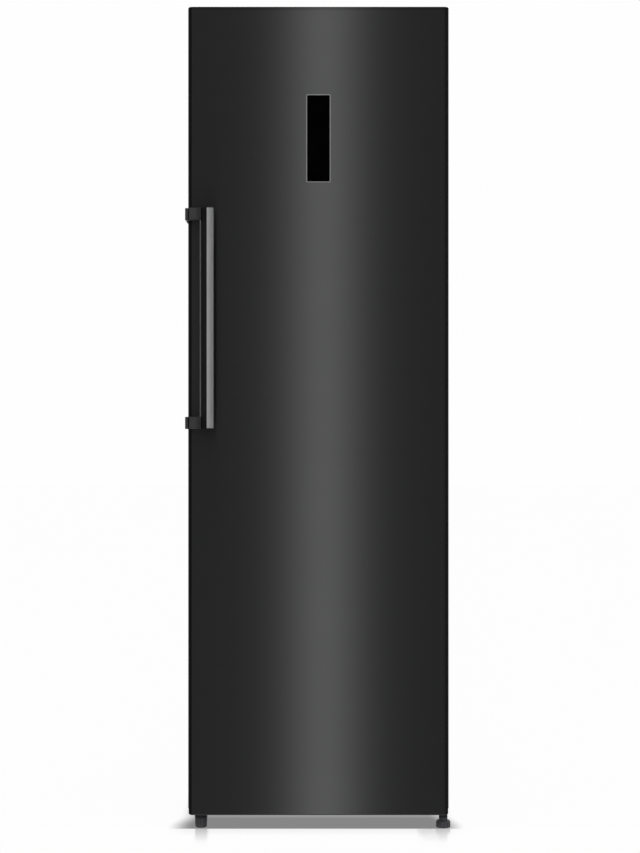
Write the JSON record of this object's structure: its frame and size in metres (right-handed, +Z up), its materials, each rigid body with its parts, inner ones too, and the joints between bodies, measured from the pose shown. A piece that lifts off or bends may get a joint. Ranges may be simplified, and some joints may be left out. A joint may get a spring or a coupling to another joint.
{
  "type": "upright freezer",
  "caption": "Tall free-standing upright freezer with one flat dark steel door, a vertical bar handle on the left, a slim display and clear drawers inside.",
  "frame": {"origin": "on the floor under the middle of the whole object's outline", "axes": "+Z up, the door and its handle face -Y, +X is the right-hand side seen from the front, where the hinge is"},
  "size_m": [0.6046, 0.705, 1.876],
  "materials": {
    "black_steel": "dark brushed stainless steel, horizontal grain",
    "body_paint": "dark grey powder coat, satin",
    "zinc_sheet": "zinc plated steel sheet",
    "foam": "rigid insulating foam",
    "white_liner": "white moulded plastic, satin",
    "clear_plastic": "clear moulded plastic with a light frost",
    "shelf_glass": "clear toughened glass",
    "window_black": "black glass, polished",
    "bezel_grey": "grey moulded plastic",
    "board_green": "circuit board",
    "seal_grey": "soft grey seal",
    "cap_black": "dark moulded plastic, fine texture",
    "handle_metal": "satin anodised, grey",
    "foot_plastic": "dark moulded plastic",
    "bright_steel": "zinc plated steel",
    "bush_plastic": "natural acetal",
    "compressor_black": "black enamel",
    "rubber_black": "black rubber",
    "relay_grey": "dark grey plastic",
    "copper_tube": "copper-coated steel tube",
    "aluminium_coil": "mill aluminium",
    "cover_grey": "dark grey plastic",
    "tray_white": "white moulded plastic",
    "light_lens": "opal plastic light cover"
  },
  "bodies": {
    "cabinet": {"back_panel": "zinc_sheet", "base_pan": "zinc_sheet", "bay_cover": "cover_grey", "bay_plate": "zinc_sheet", "bottom_hinge": "zinc_sheet", "cabinet_foam": "foam", "compressor": "compressor_black", "compressor_mounts": "rubber_black", "condenser_coil": "copper_tube", "control_box": "cap_black", "cord_gland": "cap_black", "defrost_heater": "aluminium_coil", "drain_tube": "tray_white", "drip_tray": "tray_white", "duct_cover": "white_liner", "evaporator_coil": "aluminium_coil", "evaporator_fins": "aluminium_coil", "fan_motor": "relay_grey", "hinge_cover": "cap_black", "hinge_screws": "bright_steel", "inner_liner": "white_liner", "left_foot_plate": "zinc_sheet", "light_cover": "light_lens", "roller_axles": "bright_steel", "shelf_1": "shelf_glass", "shelf_2": "shelf_glass", "shelf_3": "shelf_glass", "shelf_4": "shelf_glass", "shelf_5": "shelf_glass", "side_panel_left": "body_paint", "side_panel_right": "body_paint", "temperature_sensor": "tray_white", "terminal_box": "relay_grey", "top_hinge": "zinc_sheet", "top_panel": "body_paint"},
    "door": {"door_panel": "black_steel", "door_top_cap": "cap_black", "door_bottom_cap": "cap_black", "door_foam": "foam", "door_liner": "white_liner", "door_seal": "seal_grey", "display_bezel": "bezel_grey", "display_window": "window_black", "display_board": "board_green", "hinge_bushes": "bush_plastic", "handle_bar": "handle_metal", "handle_bracket_lower": "cap_black", "handle_bracket_upper": "cap_black", "handle_screws": "bright_steel"},
    "drawer_1_body": {"drawer_1": "clear_plastic"},
    "drawer_2_body": {"drawer_2": "clear_plastic"},
    "drawer_3_body": {"drawer_3": "clear_plastic"},
    "drawer_4_body": {"drawer_4": "clear_plastic"},
    "drawer_5_body": {"drawer_5": "clear_plastic"},
    "drawer_6_body": {"drawer_6": "clear_plastic"},
    "foot_left_body": {"foot_left": "foot_plastic"},
    "foot_right_body": {"foot_right": "foot_plastic"},
    "roller_left_body": {"roller_left": "foot_plastic"},
    "roller_right_body": {"roller_right": "foot_plastic"},
    "fan": {"fan_rotor": "tray_white"}
  },
  "joints": [
    {"name": "door_hinge", "type": "hinge", "parent": "cabinet", "child": "door", "pos_m": [0.287, -0.265, 0.938], "axis": [0, 0, 1], "range_deg": [0, 120]},
    {"name": "drawer_1_slide", "type": "slide", "parent": "cabinet", "child": "drawer_1_body", "axis": [0, -1, 0], "range_m": [0, 0.26]},
    {"name": "drawer_2_slide", "type": "slide", "parent": "cabinet", "child": "drawer_2_body", "axis": [0, -1, 0], "range_m": [0, 0.36]},
    {"name": "drawer_3_slide", "type": "slide", "parent": "cabinet", "child": "drawer_3_body", "axis": [0, -1, 0], "range_m": [0, 0.36]},
    {"name": "drawer_4_slide", "type": "slide", "parent": "cabinet", "child": "drawer_4_body", "axis": [0, -1, 0], "range_m": [0, 0.36]},
    {"name": "drawer_5_slide", "type": "slide", "parent": "cabinet", "child": "drawer_5_body", "axis": [0, -1, 0], "range_m": [0, 0.36]},
    {"name": "drawer_6_slide", "type": "slide", "parent": "cabinet", "child": "drawer_6_body", "axis": [0, -1, 0], "range_m": [0, 0.36]},
    {"name": "foot_left_screw", "type": "hinge", "parent": "cabinet", "child": "foot_left_body", "pos_m": [-0.27, -0.265, 0.02], "axis": [0, 0, 1], "continuous": true},
    {"name": "foot_right_screw", "type": "hinge", "parent": "cabinet", "child": "foot_right_body", "pos_m": [0.287, -0.265, 0.02], "axis": [0, 0, 1], "continuous": true},
    {"name": "roller_left_spin", "type": "hinge", "parent": "cabinet", "child": "roller_left_body", "pos_m": [-0.2655, 0.3185, 0.015], "axis": [1, 0, 0], "continuous": true},
    {"name": "roller_right_spin", "type": "hinge", "parent": "cabinet", "child": "roller_right_body", "pos_m": [0.2655, 0.3185, 0.015], "axis": [1, 0, 0], "continuous": true},
    {"name": "fan_spin", "type": "hinge", "parent": "cabinet", "child": "fan", "pos_m": [0, 0.2495, 1.678], "axis": [0, 1, 0], "continuous": true}
  ],
  "couplings": [
    {"joint": "drawer_1_slide", "follows": "door_hinge", "m_per_rad": 0.1},
    {"joint": "drawer_2_slide", "follows": "door_hinge", "m_per_rad": 0.092},
    {"joint": "drawer_3_slide", "follows": "door_hinge", "m_per_rad": 0.084},
    {"joint": "drawer_4_slide", "follows": "door_hinge", "m_per_rad": 0.076},
    {"joint": "drawer_5_slide", "follows": "door_hinge", "m_per_rad": 0.068},
    {"joint": "drawer_6_slide", "follows": "door_hinge", "m_per_rad": 0.06}
  ]
}
